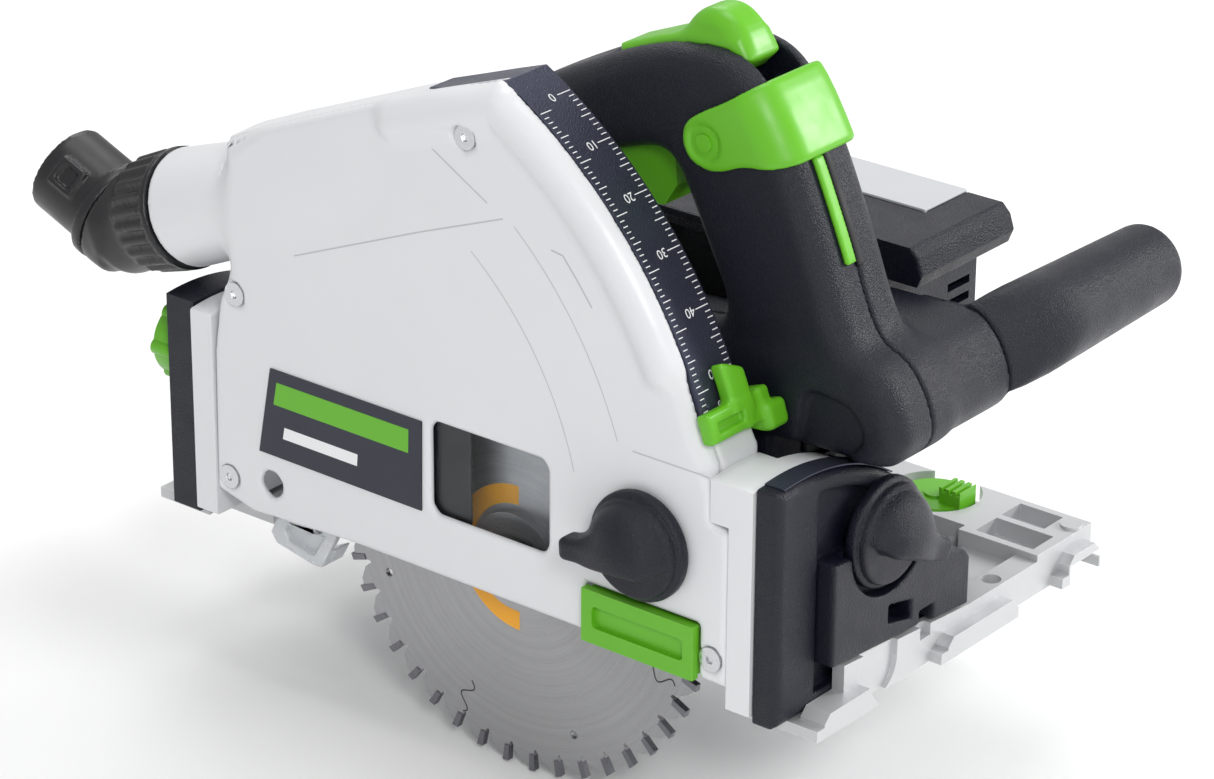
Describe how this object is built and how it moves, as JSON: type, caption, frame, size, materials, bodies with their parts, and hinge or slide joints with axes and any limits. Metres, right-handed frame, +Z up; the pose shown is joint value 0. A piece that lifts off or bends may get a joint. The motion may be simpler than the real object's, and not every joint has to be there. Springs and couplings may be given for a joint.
{
  "type": "track plunge saw",
  "caption": "Cordless plunge-cut circular saw for a guide rail, with tilting guard, depth scale, dust elbow, D-handle and side handle.",
  "frame": {"origin": "on the sole plane, in the plane of the blade, straight below the arbor at full plunge", "axes": "+X is the cutting direction, +Y points to the motor side, +Z is up"},
  "size_m": [0.3741, 0.2154, 0.2769],
  "materials": {
    "guard_white": "satin off-white cast and moulded covers",
    "navy_plastic": "fine spark texture",
    "green_plastic": "smooth satin",
    "black_plastic": "satin",
    "cast_alloy": "die cast, bead blasted",
    "bright_steel": "ground",
    "carbide": "sintered, ground faces",
    "dark_steel": "blackened",
    "winding_copper": "enamelled winding",
    "magnet_iron": "laminated",
    "board_green": "solder mask",
    "contact_brass": "plated",
    "label_navy": "printed label",
    "scale_print": "metallic grey print",
    "clear_pane": "clear polycarbonate",
    "frosted_clear": "translucent",
    "glide_coat": "low friction strip"
  },
  "bodies": {
    "base": {"base_plate": "cast_alloy", "glide_strips": "glide_coat", "front_bracket": "navy_plastic", "rear_bracket": "navy_plastic", "bracket_screws": "bright_steel", "bevel_scale": "scale_print"},
    "front_knob": {"front_bevel_knob": "navy_plastic", "front_clamp_bolt": "bright_steel"},
    "rear_knob": {"rear_bevel_knob": "green_plastic", "rear_clamp_bolt": "bright_steel"},
    "front_cam": {"front_rail_cam": "green_plastic"},
    "rear_cam": {"rear_rail_cam": "green_plastic"},
    "head": {"guard_body": "guard_white", "guard_cover": "guard_white", "scale_arc": "scale_print", "name_plate": "label_navy", "sight_window": "clear_pane", "front_segment": "guard_white", "rear_segment": "guard_white", "cover_screws": "bright_steel", "pivot_pin": "bright_steel", "dust_duct": "guard_white"},
    "dust_elbow": {"dust_elbow": "black_plastic"},
    "dust_outlet": {"dust_outlet": "black_plastic"},
    "splinter_guard": {"splinter_guard": "green_plastic"},
    "splinter_knob": {"splinter_knob": "navy_plastic"},
    "kickback_sensor": {"kickback_sensor": "frosted_clear"},
    "depth_stop": {"depth_stop": "green_plastic"},
    "motor_unit": {"gearbox_housing": "cast_alloy", "arbor_bearing": "bright_steel", "motor_bearings": "bright_steel", "motor_housing": "navy_plastic", "motor_stator": "winding_copper", "return_spring": "bright_steel", "handle_right_shell": "navy_plastic", "handle_left_shell": "navy_plastic", "front_housing": "navy_plastic", "front_handle": "navy_plastic", "pod_housing": "navy_plastic", "top_cover": "navy_plastic", "control_panel": "guard_white", "control_board": "board_green", "battery_rails": "black_plastic", "battery_contacts": "contact_brass", "switch_block": "black_plastic"},
    "trigger": {"trigger": "green_plastic"},
    "lock_button": {"lock_button": "green_plastic"},
    "plunge_lever": {"plunge_lever": "green_plastic", "lever_pin": "bright_steel"},
    "speed_dial": {"speed_dial": "green_plastic"},
    "spindle": {"saw_blade": "bright_steel", "carbide_tips": "carbide", "arbor": "bright_steel", "blade_flanges": "bright_steel", "arbor_bolt": "dark_steel", "driven_gear": "bright_steel"},
    "rotor": {"motor_shaft": "bright_steel", "motor_rotor": "magnet_iron", "cooling_fan": "black_plastic"}
  },
  "joints": [
    {"name": "bevel_tilt", "type": "hinge", "parent": "base", "child": "head", "pos_m": [0, 0, 0], "axis": [1, 0, 0], "range_deg": [-1, 47]},
    {"name": "front_knob_turn", "type": "hinge", "parent": "base", "child": "front_knob", "pos_m": [0.118, 0.03975, 0.05762], "axis": [1, 0, 0], "range_deg": [0, 90]},
    {"name": "rear_knob_turn", "type": "hinge", "parent": "base", "child": "rear_knob", "pos_m": [-0.15, 0.005, 0.0608], "axis": [1, 0, 0], "range_deg": [0, 90]},
    {"name": "front_cam_turn", "type": "hinge", "parent": "base", "child": "front_cam", "pos_m": [0.066, 0.15, 0.01], "axis": [0, 0, 1], "range_deg": [-20, 20]},
    {"name": "rear_cam_turn", "type": "hinge", "parent": "base", "child": "rear_cam", "pos_m": [-0.096, 0.15, 0.01], "axis": [0, 0, 1], "range_deg": [-20, 20]},
    {"name": "plunge", "type": "hinge", "parent": "head", "child": "motor_unit", "pos_m": [-0.086, 0, 0.041], "axis": [0, -1, 0], "range_deg": [0, 36.9]},
    {"name": "dust_swivel", "type": "hinge", "parent": "head", "child": "dust_elbow", "pos_m": [-0.158, 0.008, 0.11], "axis": [-0.9323, 0, -0.3616], "continuous": true},
    {"name": "outlet_swivel", "type": "hinge", "parent": "dust_elbow", "child": "dust_outlet", "pos_m": [-0.191, 0.008, 0.0972], "axis": [-0.9252, 0, 0.3795], "continuous": true},
    {"name": "splinter_slide", "type": "slide", "parent": "head", "child": "splinter_guard", "axis": [0, 0, -1], "range_m": [0, 0.01]},
    {"name": "splinter_knob_turn", "type": "hinge", "parent": "head", "child": "splinter_knob", "pos_m": [0.064, -0.014, 0.056], "axis": [0, 1, 0], "range_deg": [0, 90]},
    {"name": "sensor_swing", "type": "hinge", "parent": "head", "child": "kickback_sensor", "pos_m": [-0.088, 0, 0.0105], "axis": [0, 1, 0], "range_deg": [0, 12], "stiffness_Nm_per_rad": 0.1, "springref_deg": -17.19},
    {"name": "stop_slide", "type": "hinge", "parent": "head", "child": "depth_stop", "pos_m": [-0.086, 0, 0.041], "axis": [0, -1, 0], "range_deg": [0, 36.9]},
    {"name": "blade_spin", "type": "hinge", "parent": "motor_unit", "child": "spindle", "pos_m": [0, 0, 0.025], "axis": [0, 1, 0], "continuous": true},
    {"name": "rotor_spin", "type": "hinge", "parent": "motor_unit", "child": "rotor", "pos_m": [0.0093, 0, 0.04494], "axis": [0, 1, 0], "continuous": true},
    {"name": "trigger_pull", "type": "hinge", "parent": "motor_unit", "child": "trigger", "pos_m": [0.006, 0.042, 0.171], "axis": [0, -1, 0], "range_deg": [0, 7], "stiffness_Nm_per_rad": 0.2, "springref_deg": -8.59},
    {"name": "lock_slide", "type": "slide", "parent": "motor_unit", "child": "lock_button", "axis": [0.9063, 0, 0.4226], "range_m": [0, 0.004], "stiffness_N_per_m": 200, "springref_m": -0.003},
    {"name": "lever_swing", "type": "hinge", "parent": "motor_unit", "child": "plunge_lever", "pos_m": [0.059, 0.042, 0.183], "axis": [0, -1, 0], "range_deg": [0, 14]},
    {"name": "dial_turn", "type": "hinge", "parent": "motor_unit", "child": "speed_dial", "pos_m": [-0.034, 0.102, 0.084], "axis": [0, 1, 0], "range_deg": [0, 270]}
  ],
  "couplings": [
    {"joint": "rotor_spin", "follows": "blade_spin", "ratio": -2.1429}
  ]
}
